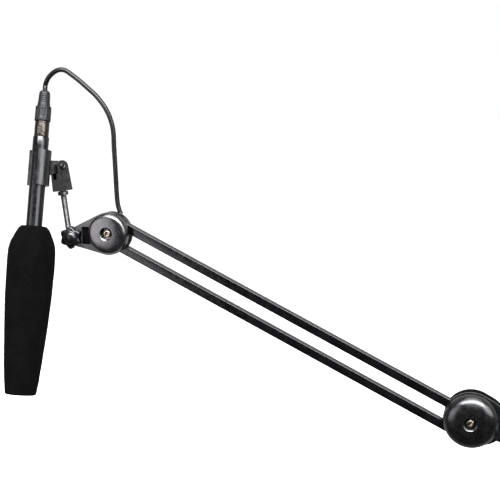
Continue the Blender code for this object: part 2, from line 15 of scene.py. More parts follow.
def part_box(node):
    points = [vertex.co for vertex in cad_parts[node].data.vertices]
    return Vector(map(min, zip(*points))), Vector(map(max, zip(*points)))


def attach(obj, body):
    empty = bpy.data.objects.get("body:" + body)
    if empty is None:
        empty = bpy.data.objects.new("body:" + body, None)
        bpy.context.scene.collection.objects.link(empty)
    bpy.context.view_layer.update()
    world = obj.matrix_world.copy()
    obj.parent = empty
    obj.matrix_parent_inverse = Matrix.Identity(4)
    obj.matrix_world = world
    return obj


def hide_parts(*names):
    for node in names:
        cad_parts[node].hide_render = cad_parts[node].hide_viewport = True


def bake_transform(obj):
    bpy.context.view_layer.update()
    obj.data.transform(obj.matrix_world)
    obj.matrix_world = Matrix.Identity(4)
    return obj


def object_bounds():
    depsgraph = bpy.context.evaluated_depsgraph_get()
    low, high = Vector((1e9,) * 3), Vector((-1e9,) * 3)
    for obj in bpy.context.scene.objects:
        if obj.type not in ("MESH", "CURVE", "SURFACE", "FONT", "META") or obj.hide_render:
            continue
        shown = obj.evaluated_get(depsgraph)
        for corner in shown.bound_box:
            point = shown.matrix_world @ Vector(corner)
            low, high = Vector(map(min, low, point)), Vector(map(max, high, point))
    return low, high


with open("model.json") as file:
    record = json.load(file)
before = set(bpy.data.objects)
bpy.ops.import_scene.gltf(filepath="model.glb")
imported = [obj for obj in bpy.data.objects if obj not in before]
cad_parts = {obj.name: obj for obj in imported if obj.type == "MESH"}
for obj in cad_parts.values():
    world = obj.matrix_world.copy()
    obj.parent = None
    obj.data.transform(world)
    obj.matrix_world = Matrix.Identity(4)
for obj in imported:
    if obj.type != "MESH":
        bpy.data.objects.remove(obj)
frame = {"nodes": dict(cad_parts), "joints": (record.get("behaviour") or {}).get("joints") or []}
cad_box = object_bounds()

MM = 0.001
GAP = 0.0003
PLATE_IN = 0.0065
PLATE_OUT = 0.0095
PIN_R = 0.003
SCREW_R = 0.0025
SCREW_HEAD_R = 0.005
TUBE = 0.0115
TUBE_WALL = 0.0012
TUBE_OVER = 0.008
ROD_R = 0.004
STUD_R = 0.004
YOKE_RISE = 0.0924
MIC_OUT = 0.030
MIC_R = 0.0106
MIC_TOP = 0.0358
BOOT_TOP = 0.0975
CABLE_R = 0.0032
ROUND = 96


def joint(name):
    return next(j for j in frame["joints"] if j["name"] == name)


def pivot(name):
    return Vector(joint(name)["pos_m"])


def hub_centre(node):
    low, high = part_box(node)
    return Vector(((low.x + high.x) / 2, 0, (low.z + high.z) / 2))


BASE = hub_centre("base_cap_front")
ELBOW = hub_centre("elbow_cap_front")
DROP = pivot("lower_arm_tilt") - pivot("lower_arm_follow")
HEAD = pivot("head_level") - DROP / 2
HEAD_CAP = hub_centre("head_cap_front")
KNOB = pivot("post_swing")
YOKE_PIVOT = pivot("clip_tilt")
POST_UP = Vector(joint("yoke_turn")["axis"]).normalized()
EAR_OUT = Vector(joint("clip_tilt")["axis"]).normalized()
MIC_UP = -Vector(joint("windscreen_slide")["axis"]).normalized()
LATCH_AIM = -Vector(joint("latch_press")["axis"]).normalized()
CLIP_OUT = EAR_OUT.cross(MIC_UP).normalized()
ROD_FOOT = YOKE_PIVOT - POST_UP * YOKE_RISE
MIC_MID = YOKE_PIVOT + CLIP_OUT * MIC_OUT
FACE_Y = Vector((0, 1, 0))


def frame_at(point, x, y, z):
    return Matrix(
        (
            (x.x, y.x, z.x, point.x),
            (x.y, y.y, z.y, point.y),
            (x.z, y.z, z.z, point.z),
            (0, 0, 0, 1),
        )
    )


def axis_frame(point, along):
    z = along.normalized()
    side = FACE_Y if abs(z.y) < 0.9 else Vector((1, 0, 0))
    x = side.cross(z).normalized()
    return frame_at(point, x, z.cross(x), z)


def front_frame(point):
    """X right, Y up and Z towards the front."""
    return frame_at(point, Vector((1, 0, 0)), Vector((0, 0, 1)), Vector((0, -1, 0)))


def rear_frame(point):
    return frame_at(point, Vector((-1, 0, 0)), Vector((0, 0, 1)), Vector((0, 1, 0)))


YOKE_FRAME = frame_at(YOKE_PIVOT, POST_UP.cross(EAR_OUT), POST_UP, EAR_OUT)
MIC_FRAME = frame_at(MIC_MID, CLIP_OUT, MIC_UP.cross(CLIP_OUT), MIC_UP)
LUG_FRAME = frame_at(MIC_MID, CLIP_OUT, MIC_UP, CLIP_OUT.cross(MIC_UP))
LATCH_FRAME = frame_at(MIC_MID, LATCH_AIM.cross(MIC_UP), LATCH_AIM, MIC_UP)
GLAND_AXIS = Vector((-0.33, 0, 0.944)).normalized()
GLAND_AT = HEAD + Vector((0.0088, 0, 0.0256))
GLAND = axis_frame(GLAND_AT, GLAND_AXIS)


# ---------------------------------------------------------------- materials


class Look:
    """A Principled material with procedural colour, roughness and relief."""

    def __init__(self, name, metal=0.0, specular=0.5):
        self.material = bpy.data.materials.new(name)
        self.material.use_nodes = True
        self.tree = self.material.node_tree
        self.shader = self.tree.nodes["Principled BSDF"]
        self.shader.inputs["Metallic"].default_value = metal
        self.shader.inputs["Specular IOR Level"].default_value = specular
        self.coords = self.tree.nodes.new("ShaderNodeTexCoord").outputs["Object"]
        self.normal = None

    def link(self, source, target):
        self.tree.links.new(source, target)

    def noise(self, scale, detail=4.0, stretch=None):
        found = self.tree.nodes.new("ShaderNodeTexNoise")
        found.inputs["Scale"].default_value = scale
        found.inputs["Detail"].default_value = detail
        found.inputs["Roughness"].default_value = 0.6
        if stretch:
            mapping = self.tree.nodes.new("ShaderNodeMapping")
            mapping.inputs["Scale"].default_value = stretch
            self.link(self.coords, mapping.inputs["Vector"])
            self.link(mapping.outputs["Vector"], found.inputs["Vector"])
        else:
            self.link(self.coords, found.inputs["Vector"])
        return found.outputs["Fac"]

    def cells(self, scale):
        found = self.tree.nodes.new("ShaderNodeTexVoronoi")
        found.inputs["Scale"].default_value = scale
        self.link(self.coords, found.inputs["Vector"])
        return found.outputs["Distance"]

    def rings(self, scale, distortion=0.6):
        """Fine turning marks round the piece's own Z."""
        found = self.tree.nodes.new("ShaderNodeTexWave")
        found.wave_type = "RINGS"
        found.rings_direction = "Z"
        found.inputs["Scale"].default_value = scale
        found.inputs["Distortion"].default_value = distortion
        found.inputs["Detail"].default_value = 3.0
        self.link(self.coords, found.inputs["Vector"])
        return found.outputs["Fac"]

    def between(self, value, low, high, to_low=0.0, to_high=1.0):
        found = self.tree.nodes.new("ShaderNodeMapRange")
        found.interpolation_type = "SMOOTHSTEP"
        for socket, number in (
            ("From Min", low),
            ("From Max", high),
            ("To Min", to_low),
            ("To Max", to_high),
        ):
            found.inputs[socket].default_value = number
        self.link(value, found.inputs["Value"])
        return found.outputs["Result"]

    def mix(self, factor, a, b):
        found = self.tree.nodes.new("ShaderNodeMix")
        found.data_type = "RGBA"
        self.link(factor, found.inputs["Factor"])
        for socket, value in (("A", a), ("B", b)):
            target = next(s for s in found.inputs if s.name == socket and s.type == "RGBA")
            if isinstance(value, tuple):
                target.default_value = (*value, 1)
            else:
                self.link(value, target)
        return next(s for s in found.outputs if s.type == "RGBA")

    def colour(self, value):
        self.link(value, self.shader.inputs["Base Color"])

    def roughness(self, value):
        self.link(value, self.shader.inputs["Roughness"])

    def relief(self, height, distance):
        """Adds one layer of bump, its full height given in metres."""
        found = self.tree.nodes.new("ShaderNodeBump")
        found.inputs["Distance"].default_value = distance
        self.link(height, found.inputs["Height"])
        if self.normal:
            self.link(self.normal, found.inputs["Normal"])
        self.normal = found.outputs["Normal"]
        self.link(self.normal, self.shader.inputs["Normal"])


def painted(name, dark, light, rough, specular=0.5, peel=0.000012):
    """Powder-coated metal: orange peel, cloudy gloss and hairline scuffs."""
    look = Look(name, specular=specular)
    body = look.mix(look.between(look.noise(38, 5), 0.3, 0.7), dark, light)
    scuff = look.between(look.noise(60, 6, (1, 1, 14)), 0.68, 0.72, 0.0, 0.5)
    worn = tuple(min(1, c * 2.6 + 0.003) for c in light)
    look.colour(look.mix(scuff, body, worn))
    look.roughness(look.between(look.noise(150, 5), 0.3, 0.7, rough - 0.06, rough + 0.08))
    look.relief(look.noise(900, 2), peel)
    look.relief(look.noise(2600, 1), peel * 0.4)
    return look.material


def moulded(name, dark, light, rough, grain, specular=0.5):
    """Moulded plastic: faint flow marks, fine grain and handling marks."""
    look = Look(name, specular=specular)
    body = look.mix(look.between(look.noise(24, 4), 0.3, 0.7), dark, light)
    rub = look.between(look.noise(75, 7, (1, 5, 1)), 0.66, 0.72, 0.0, 0.35)
    look.colour(look.mix(rub, body, tuple(c * 2.2 + 0.002 for c in light)))
    look.roughness(look.between(look.noise(95, 5), 0.3, 0.7, rough - 0.05, rough + 0.07))
    look.relief(look.noise(3200, 2), grain)
    look.relief(look.noise(120, 2), grain * 1.5)
    return look.material


def turned_metal(name, dark, light, rough, marks=0.00001):
    """Plated or bare turned metal with tool marks and tarnish."""
    look = Look(name, metal=1.0)
    tarnish = look.between(look.noise(130, 6), 0.42, 0.72)
    look.colour(look.mix(tarnish, light, dark))
    look.roughness(look.between(look.noise(420, 4), 0.3, 0.7, rough - 0.06, rough + 0.1))
    look.relief(look.rings(900), marks)
    look.relief(look.noise(1500, 3), marks)
    return look.material


def open_cell_foam():
    look = Look("open_cell_foam", specular=0.04)
    pores = look.cells(1150)
    cloud = look.between(look.noise(60, 4), 0.35, 0.65)
    body = look.mix(cloud, (0.0003, 0.0003, 0.00035), (0.0007, 0.0007, 0.0008))
    lint = look.between(look.noise(900, 2), 0.7, 0.76, 0.0, 0.5)
    look.colour(look.mix(lint, body, (0.003, 0.003, 0.0033)))
    look.roughness(look.between(pores, 0.0, 0.8, 1.0, 0.88))
    look.relief(pores, 0.0006)
    look.relief(look.noise(2600, 2), 0.0003)
    return look.material


def soft_rubber(name, dark, light, rough, grain, specular=0.4):
    look = Look(name, specular=specular)
    dust = look.between(look.noise(85, 6), 0.5, 0.8)
    look.colour(look.mix(dust, dark, light))
    look.roughness(look.between(look.noise(210, 4), 0.3, 0.7, rough - 0.08, rough + 0.1))
    look.relief(look.noise(1900, 3), grain)
    return look.material


def enamel():
    """The microphone's gloss black paint, with a faint peel."""
    look = Look("mic_enamel", specular=0.36)
    body = look.mix(look.noise(40, 4), (0.0008, 0.0008, 0.001), (0.0018, 0.0018, 0.002))
    nick = look.between(look.noise(160, 7, (1, 1, 0.2)), 0.7, 0.74, 0.0, 0.4)
    look.colour(look.mix(nick, body, (0.012, 0.012, 0.0125)))
    look.roughness(look.between(look.noise(180, 4), 0.3, 0.7, 0.16, 0.27))
    look.relief(look.noise(700, 2), 0.000012)
    return look.material


LOOKS = {
    "black_paint": painted(
        "black_paint", (0.0006, 0.0006, 0.0007), (0.0014, 0.0014, 0.0016), rough=0.18, specular=0.30
    ),
    "plate_paint": painted(
        "plate_paint", (0.0012, 0.0012, 0.0015), (0.0026, 0.0026, 0.003), rough=0.24
    ),
    "grey_paint": painted(
        "grey_paint", (0.019, 0.0187, 0.020), (0.031, 0.0305, 0.032), rough=0.36, specular=0.24
    ),
    "cap_plastic": moulded(
        "cap_plastic", (0.0005, 0.0005, 0.0006), (0.0011, 0.0010, 0.0012), rough=0.27, grain=0.000003
    ),
    # The head cap's plastic is the cap plastic made lighter and more reflective: painted sheen, standing in
    # for the brighter light the head cap catches.
    "head_cap_painted_sheen": moulded(
        "head_cap_painted_sheen", (0.0012, 0.0012, 0.0015), (0.0024, 0.0022, 0.0027),
        rough=0.24, grain=0.000002, specular=0.9
    ),
    "black_plastic": moulded(
        "black_plastic", (0.0006, 0.0006, 0.0007), (0.0013, 0.0013, 0.0015),
        rough=0.28, grain=0.000005, specular=0.38
    ),
    "core_plastic": moulded(
        "core_plastic", (0.0006, 0.0006, 0.0007), (0.0012, 0.0012, 0.0013),
        rough=0.9, grain=0.00002, specular=0.04
    ),
    "clip_plastic": moulded(
        "clip_plastic", (0.0006, 0.0006, 0.0008), (0.0013, 0.0014, 0.0016), rough=0.25, grain=0.000004
    ),
    "nickel": turned_metal(
        "nickel", (0.12, 0.09, 0.06), (0.30, 0.255, 0.195), rough=0.28
    ),
    "shell_nickel": turned_metal(
        "shell_nickel", (0.040, 0.034, 0.029), (0.060, 0.053, 0.046), rough=0.26, marks=0.000002
    ),
    "black_screw": turned_metal(
        "black_screw", (0.008, 0.008, 0.008), (0.02, 0.02, 0.02), rough=0.4
    ),
    "steel": turned_metal(
        "steel", (0.22, 0.22, 0.22), (0.46, 0.46, 0.45), rough=0.32
    ),
    "post_steel": turned_metal(
        "post_steel", (0.030, 0.030, 0.030), (0.085, 0.085, 0.083), rough=0.38
    ),
    "foam": open_cell_foam(),
    "rubber": soft_rubber(
        "black_rubber", (0.010, 0.010, 0.011), (0.024, 0.023, 0.022), rough=0.62, grain=0.00004
    ),
    "grip_rubber": soft_rubber(
        "grip_rubber", (0.003, 0.003, 0.0034), (0.006, 0.006, 0.0066),
        rough=0.48, grain=0.00001, specular=0.24
    ),
    "cable": soft_rubber(
        "cable_jacket", (0.001, 0.001, 0.0012), (0.0026, 0.0026, 0.0029),
        rough=0.30, grain=0.000004, specular=0.22
    ),
    "mic_paint": enamel(),
}


# ---------------------------------------------------------------- mesh tools


def put(obj, body, nodes, slot, look=None):
    """Paints a piece, makes it ride on its body and stand for CAD nodes."""
    obj.data.materials.clear()
    obj.data.materials.append(LOOKS[look or slot])
    if body:
        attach(obj, body)
    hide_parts(*([nodes] if isinstance(nodes, str) else nodes))
    return obj


def object_from(name, bm, place, crease=32):
    bmesh.ops.remove_doubles(bm, verts=bm.verts, dist=1e-7)
    bmesh.ops.recalc_face_normals(bm, faces=bm.faces)
    mesh = bpy.data.meshes.new(name)
    bm.to_mesh(mesh)
    bm.free()
    mesh.shade_smooth()
    mesh.set_sharp_from_angle(angle=math.radians(crease))
    obj = bpy.data.objects.new(name, mesh)
    obj.matrix_world = place
    bpy.context.scene.collection.objects.link(obj)
    return obj


def loft(name, rings, place, loop=False, crease=32):
    """Joins rings of points; a ring of one point closes the piece there."""
    bm = bmesh.new()
    made = [[bm.verts.new(point) for point in ring] for ring in rings]
    pairs = list(zip(made, made[1:]))
    if loop:
        pairs.append((made[-1], made[0]))
    for a, b in pairs:
        count = max(len(a), len(b))
        if count == 1:
            continue
        for i in range(count):
            j = (i + 1) % count
            if len(a) == 1:
                bm.faces.new((a[0], b[i], b[j]))
            elif len(b) == 1:
                bm.faces.new((a[i], a[j], b[0]))
            else:
                bm.faces.new((a[i], a[j], b[j], b[i]))
    return object_from(name, bm, place, crease)


def circle(radius, height, segments=ROUND, shape=None):
    """A ring at one height; shape(turn, height) is added to its radius."""
    if radius < 1e-7:
        return [Vector((0, 0, height))]
    ring = []
    for i in range(segments):
        turn = 2 * math.pi * i / segments
        reach = radius + (shape(turn, height) if shape else 0)
        ring.append(Vector((reach * math.cos(turn), reach * math.sin(turn), height)))
    return ring


def soften(points, radius, steps=4, closed=True):
    """Rounds the corners of an outline; points on the axis stay as they are."""
    made = []
    count = len(points)
    for i, point in enumerate(points):
        here = Vector(point)
        if not closed and i in (0, count - 1) or abs(point[0]) < 1e-7:
            made.append(tuple(here))
            continue
        before = Vector(points[i - 1]) - here
        after = Vector(points[(i + 1) % count]) - here
        reach = min(radius, before.length * 0.45, after.length * 0.45)
        a = here + before.normalized() * reach
        b = here + after.normalized() * reach
        for k in range(steps + 1):
            t = k / steps
            made.append(tuple(a * (1 - t) ** 2 + here * 2 * t * (1 - t) + b * t * t))
    return made


def turned(name, profile, place, edge=0.0004, segments=ROUND, shape=None):
    """A closed (radius, height) profile, its corners rounded, turned about Z."""
    line = soften(profile, edge)
    rings = [circle(r, z, segments, shape) for r, z in line]
    return loft(name, rings, place, loop=True)


def flow(points, parts):
    """Points along a smooth curve through the given ones."""
    points = [Vector(point) for point in points]
    fine = []
    for i in range(len(points) - 1):
        before = points[max(i - 1, 0)]
        a, b = points[i], points[i + 1]
        after = points[min(i + 2, len(points) - 1)]
        for k in range(parts):
            t = k / parts
            line = 2 * a + (b - before) * t
            line += (2 * before - 5 * a + 4 * b - after) * t * t
            line += (3 * a - before - 3 * b + after) * t * t * t
            fine.append(line * 0.5)
    fine.append(points[-1])
    return fine


def evenly(fine, count):
    run = [0.0]
    for a, b in zip(fine, fine[1:]):
        run.append(run[-1] + (b - a).length)
    route = []
    k = 0
    for i in range(count):
        want = run[-1] * i / (count - 1)
        while k < len(run) - 2 and run[k + 1] < want:
            k += 1
        share = (want - run[k]) / max(run[k + 1] - run[k], 1e-9)
        route.append(fine[k].lerp(fine[k + 1], min(share, 1)))
    return route


def arc(centre, radius, start, end, steps):
    points = []
    for i in range(steps + 1):
        turn = math.radians(start + (end - start) * i / steps)
        x = centre[0] + radius * math.cos(turn)
        points.append((x, centre[1] + radius * math.sin(turn)))
    return points


def drop_outline(a, ra, b, rb, steps=24):
    """The outline round two circles and the straight tangents between them."""
    away = Vector((b[0] - a[0], b[1] - a[1]))
    aim = math.degrees(math.atan2(away.y, away.x))
    spread = math.degrees(math.acos((ra - rb) / away.length))
    big = arc(a, ra, aim + spread, aim + 360 - spread, steps * 2)
    return big + arc(b, rb, aim - spread, aim + spread, steps)


def rounded_box(wide, high, corner, steps=6):
    outline = []
    for cx, cy, turn in ((1, 1, 0), (-1, 1, 90), (-1, -1, 180), (1, -1, 270)):
        centre = (cx * (wide - corner), cy * (high - corner))
        outline += arc(centre, corner, turn, turn + 90, steps)
    return outline


def prism(name, outline, low, high, place):
    bm = bmesh.new()
    bottom = [bm.verts.new((x, y, low)) for x, y in outline]
    top = [bm.verts.new((x, y, high)) for x, y in outline]
    bm.faces.new(bottom)
    bm.faces.new(top)
    for i in range(len(outline)):
        j = (i + 1) % len(outline)
        bm.faces.new((bottom[i], bottom[j], top[j], top[i]))
    return object_from(name, bm, place, 30)


def drill(radius, low, high, place, segments=40):
    rings = [[Vector((0, 0, low))], circle(radius, low, segments)]
    rings += [circle(radius, high, segments), [Vector((0, 0, high))]]
    return loft("cutter", rings, place)


def combined(obj, other, operation="DIFFERENCE"):
    step = obj.modifiers.new("step", "BOOLEAN")
    step.solver = "EXACT"
    step.operation = operation
    step.object = other
    bpy.context.view_layer.update()
    graph = bpy.context.evaluated_depsgraph_get()
    mesh = bpy.data.meshes.new_from_object(obj.evaluated_get(graph))
    obj.modifiers.clear()
    obj.data = mesh
    bpy.data.objects.remove(other)
    return obj


def bevelled(obj, width, segments=3, angle=40):
    """Rounds a piece's edges with a modifier and shades it by angle."""
    step = obj.modifiers.new("edges", "BEVEL")
    step.width = width
    step.segments = segments
    step.limit_method = "ANGLE"
    step.angle_limit = math.radians(angle)
    step.harden_normals = True
    obj.data.shade_smooth()
    obj.data.set_sharp_from_angle(angle=math.radians(angle))
    return obj


def keep_node(node, look, width=0.0006, segments=3):
    """A CAD node that stays: its edges are rounded and it is painted."""
    obj = frame["nodes"][node]
    obj.data.materials.clear()
    obj.data.materials.append(LOOKS[look])
    if width:
        weld = obj.modifiers.new("weld", "WELD")
        weld.merge_threshold = 1e-5
        bevelled(obj, width, segments, 30)
    return obj


# ---------------------------------------------------------------- hubs


def slotted_head(name, profile, place, slot_low, reach, turn=0.0):
    head = turned(name, profile, place, 0.0003, 64)
    tilted = place @ Matrix.Rotation(turn, 4, "Z")
    half = 0.0005
    bar = [(-reach, -half), (reach, -half), (reach, half), (-reach, half)]
    return combined(head, prism("slot", bar, slot_low, slot_low + 0.02, tilted))


def cap_screw(node, place, seat, body, turn):
    profile = [
        (0, -0.003),
        (SCREW_R, -0.003),
        (SCREW_R, seat + GAP),
        (SCREW_HEAD_R, seat + GAP),
        (SCREW_HEAD_R, seat + 0.002),
        (SCREW_HEAD_R - 0.0012, seat + 0.003),
        (0, seat + 0.0033),
    ]
    head = slotted_head(f"{node}_turned", profile, place, seat + 0.0022, 0.006, turn)
    put(head, body, node, "nickel")


LOW_DOME = (
    (0.45, 0.0001),
    (0.62, 0.0004),
    (0.76, 0.0009),
    (0.87, 0.0019),
    (0.955, 0.0039),
    (0.995, 0.0068),
    (1, 0.0088),
)
HIGH_DOME = (
    (0.42, 0.0002),
    (0.56, 0.0007),
    (0.70, 0.0018),
    (0.82, 0.0035),
    (0.92, 0.0062),
    (0.98, 0.0094),
    (1, 0.0118),
)


def hub_caps(prefix, centre, body, shape, look="cap_plastic"):
    """The deep domed front cap, the low rear cover and their screws."""
    low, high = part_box(f"{prefix}_cap_front")
    radius = (high.x - low.x) / 2
    depth = high.y - low.y
    seat = depth - 0.0062
    recess = 0.0076
    wall = 0.0024
    falls = [(radius * share, depth - drop) for share, drop in shape]
    dome = flow([(recess + 0.0013, depth)] + falls, 8)
    lead_in = soften(
        [(SCREW_R + GAP, 0), (SCREW_R + GAP, seat), (recess, seat), (recess, depth - 0.0008)],
        0.0004,
        closed=False,
    )
    skirt = soften(
        [(radius, 0.0034), (radius, 0.0014), (radius - 0.0006, 0.0012), (radius - 0.0006, 0)],
        0.0002,
        closed=False,
    )
    inside = [
        (radius - wall, 0),
        (radius - wall, falls[-1][1] - 0.0006),
        (radius * 0.78, falls[3][1] - 0.0030),
        (recess + 0.0024, depth - 0.0036),
        (recess + 0.0024, 0),
    ]
    line = lead_in + [tuple(p) for p in dome] + skirt + inside
    place = front_frame(centre) @ Matrix.Translation((0, 0, PLATE_OUT + GAP))
    rings = [circle(r, z, 128) for r, z in line]
    cap = loft(f"{prefix}_cap_front_domed", rings, place, loop=True)
    put(cap, body, f"{prefix}_cap_front", "black_plastic", look)
    cap_screw(f"{prefix}_cap_screw_front", place, seat, body, 0.9)
    low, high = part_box(f"{prefix}_cap_rear")
    small = (high.x - low.x) / 2
    cover_depth = high.y - low.y
    cover = [
        (SCREW_R + GAP, 0),
        (SCREW_R + GAP, cover_depth),
        (small * 0.42, cover_depth),
        (small * 0.46, cover_depth - 0.0006),
        (small * 0.50, cover_depth),
        (small - 0.0015, cover_depth),
        (small, cover_depth - 0.0015),
        (small, 0),
    ]
    place = rear_frame(centre) @ Matrix.Translation((0, 0, PLATE_OUT + GAP))
    back = turned(f"{prefix}_cap_rear_turned", cover, place, 0.0008)
    put(back, body, f"{prefix}_cap_rear", "black_plastic", look)
    cap_screw(f"{prefix}_cap_screw_rear", place, cover_depth, body, 0.3)


def hub_plates(prefix, centre, body, outline, holes, slot, look, window=None):
    for side, place, flip in (
        ("front", front_frame(centre), 1),
        ("rear", rear_frame(centre), -1),
    ):
        shape = [(x * flip, y) for x, y in outline]
        node = f"{prefix}_plate_{side}"
        plate = prism(f"{node}_cut", shape, PLATE_IN, PLATE_OUT, place)
        for x, y, radius in holes:
            at = place @ Matrix.Translation((x * flip, y, 0))
            combined(plate, drill(radius, PLATE_IN - MM, PLATE_OUT + MM, at))
        if window:
            (left, low), (right, high) = window
            corner = rounded_box((right - left) / 2, (high - low) / 2, 0.0016, 4)
            middle = ((left + right) / 2, (low + high) / 2)
            shape = [((x + middle[0]) * flip, y + middle[1]) for x, y in corner]
            combined(plate, prism("window", shape, PLATE_IN - MM, PLATE_OUT + MM, place))
        bevelled(plate, 0.00055, 3, 50)
        put(plate, body, node, slot, look)


def pins():
    """Pivot pins with chamfered ends, the spacer post and the rivet."""
    for body, nodes in (
        ("base_hub", ("base_pin_a", "base_pin_b")),
        ("elbow_hub", ("elbow_pin_a", "elbow_pin_b", "elbow_pin_c", "elbow_pin_d")),
        ("head_hub", ("head_pin_a", "head_pin_b", "head_rivet")),
    ):
        for node in nodes:
            low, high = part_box(node)
            half = (high.y - low.y) / 2
            radius = SCREW_R if node == "head_rivet" else PIN_R
            dimple = radius * 0.35
            line = [(0, -half + 0.0005), (dimple, -half + 0.0005), (dimple + 0.0004, -half)]
            line += [(radius, -half), (radius, half), (dimple + 0.0004, half)]
            line += [(dimple, half - 0.0005), (0, half - 0.0005)]
            piece = turned(f"{node}_turned", line, front_frame((low + high) / 2), 0.0004, 48)
            put(piece, body, node, "steel")
    low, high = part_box("elbow_spacer")
    half = (high.y - low.y) / 2
    step = PLATE_IN - GAP
    line = [(0, -half), (SCREW_R, -half), (SCREW_R, -step), (0.0048, -step)]
    line += [(0.0048, step), (SCREW_R, step), (SCREW_R, half), (0, half)]
    piece = turned("elbow_spacer_turned", line, front_frame((low + high) / 2), 0.0003, 48)
    put(piece, "elbow_hub", "elbow_spacer", "steel")


def local_xz(point, centre):
    return (point.x - centre.x, point.z - centre.z)


def pin_holes(centre, *joints):
    return [(*local_xz(pivot(name), centre), PIN_R + GAP) for name in joints]


def base_hub():
    bolt_low, bolt_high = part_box("base_bolt")
    bolt_at = (bolt_low + bolt_high) / 2
    holes = pin_holes(BASE, "lower_arm_tilt", "lower_arm_follow")
    holes += [(0, 0, SCREW_R + GAP), (*local_xz(bolt_at, BASE), SCREW_R + GAP)]
    outline = drop_outline((0, 0), 0.030, (0, -0.032), 0.0125)
    hub_plates("base", BASE, "base_hub", outline, holes, "black_paint", "plate_paint")
    hub_caps("base", BASE, "base_hub", LOW_DOME)
    edge = PLATE_OUT + GAP
    top = edge + 0.003
    line = [(0, -top), (0.0042, -top), (0.0042, -edge), (SCREW_R, -edge)]
    line += [(SCREW_R, edge), (0.0042, edge), (0.0042, top), (0, top)]
    bolt = turned("base_bolt_turned", line, front_frame(bolt_at), 0.0006, 64)
    put(bolt, "base_hub", "base_bolt", "nickel")
    keep_node("base_core", "black_paint", 0.0006)


def elbow_hub():
    spacer_low, spacer_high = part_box("elbow_spacer")
    spacer = local_xz((spacer_low + spacer_high) / 2, ELBOW)
    level = pivot("elbow_level")
    holes = pin_holes(ELBOW, "upper_arm_tilt", "upper_arm_follow", "elbow_level")
    holes.append((*local_xz(level - DROP, ELBOW), PIN_R + GAP))
    holes += [(0, 0, SCREW_R + GAP), (*spacer, SCREW_R + GAP)]
    low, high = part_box("elbow_plate_front")
    tail = (0.0125, -0.0015)
    tail_radius = 0.030
    radius = high.x - low.x - tail[0] - tail_radius
    outline = drop_outline((0, 0), radius, tail, tail_radius, 48)
    hub_plates("elbow", ELBOW, "elbow_hub", outline, holes, "black_paint", "plate_paint")
    hub_caps("elbow", ELBOW, "elbow_hub", HIGH_DOME)


def head_hub():
    knob = local_xz(KNOB, HEAD)
    level = pivot("head_level")
    rivet_low, rivet_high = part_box("head_rivet")
    rivet = local_xz((rivet_low + rivet_high) / 2, HEAD)
    holes = pin_holes(HEAD, "head_level")
    holes.append((*local_xz(level - DROP, HEAD), PIN_R + GAP))
    holes += [(*knob, STUD_R + GAP), (*rivet, SCREW_R + GAP)]
    holes.append((*local_xz(HEAD_CAP, HEAD), SCREW_R + GAP))
    outline = drop_outline((-0.006, -0.0015), 0.0285, knob, 0.0115, 48)
    window = ((-0.0438, -0.0165), (-0.0305, 0.0070))
    hub_plates("head", HEAD, "head_hub", outline, holes, "grey_paint", "grey_paint", window)
    # The head cap gets the lighter, more reflective copy of the cap plastic: painted sheen.
    hub_caps("head", HEAD_CAP, "head_hub", LOW_DOME, "head_cap_painted_sheen")
    keep_node("head_core", "core_plastic", 0.0008)


def cable_gland():
    """A slim collar where the cable leaves the head hub."""
    line = [(0, -0.0014), (0.0036, -0.0014), (0.0036, 0.0006), (0.0030, 0.0014), (0, 0.0014)]
    gland = turned("cable_gland_ring", line, GLAND, 0.0003, 48)
    combined(gland, drill(CABLE_R + GAP, -0.01, 0.01, GLAND))
    put(gland, "head_hub", "cable_gland", "rubber")


# ---------------------------------------------------------------- arms


def arms():
    """Square tubes with rounded corners, drilled for their pins."""
    for prefix, foot_joint, top_joint in (
        ("lower", "lower_arm_tilt", "elbow_level"),
        ("upper", "head_level", "upper_arm_tilt"),
    ):
        along = pivot(top_joint) - pivot(foot_joint)
        length = along.length
        along.normalize()
        for tag, offset in (("a", Vector()), ("b", -DROP)):
            node = f"{prefix}_tube_{tag}"
            start = pivot(foot_joint) + offset
            place = frame_at(start, FACE_Y.cross(along), FACE_Y, along)
            outer = rounded_box(TUBE / 2, TUBE / 2, 0.0013, 8)
            inner = rounded_box(TUBE / 2 - TUBE_WALL, TUBE / 2 - TUBE_WALL, 0.0004, 8)
            low = -TUBE_OVER
            high = length + TUBE_OVER
            lip = 0.0003
            stations = [(outer, low + lip), (outer, low + 0.012)]
            stations += [(outer, length * k / 10) for k in range(1, 10)]
            stations += [(outer, high - 0.012), (outer, high - lip)]
            stations += [(inner, high), (inner, low)]
            rings = [[Vector((x, y, z)) for x, y in shape] for shape, z in stations]
            tube = loft(f"{node}_drawn", rings, place, loop=True, crease=25)
            for at in (0, length):
                hole = front_frame(start + along * at)
                combined(tube, drill(PIN_R + GAP, -TUBE, TUBE, hole, 32))
            tube.data.shade_smooth()
            tube.data.set_sharp_from_angle(angle=math.radians(25))
            put(tube, f"{prefix}_link_{tag}", node, "black_paint")
        keep_node(f"{prefix}_spring", "steel", 0)


# ---------------------------------------------------------------- clamp


def screw_thread(radius, depth, pitch, low, high, segments=40, run_out=1.0):
    """Rings of a helical thread that fades out at both ends."""
    steps = max(8, int((high - low) / pitch * 6))
    rings = []
    for k in range(steps + 1):
        height = low + (high - low) * k / steps
        fade = min(1, (height - low) / (pitch * run_out), (high - height) / (pitch * run_out))

        def groove(turn, z, fade=fade):
            phase = (z / pitch - turn / (2 * math.pi)) % 1
            return -depth * fade * abs(2 * phase - 1)

        rings.append(circle(radius, height, segments, groove))
    return rings


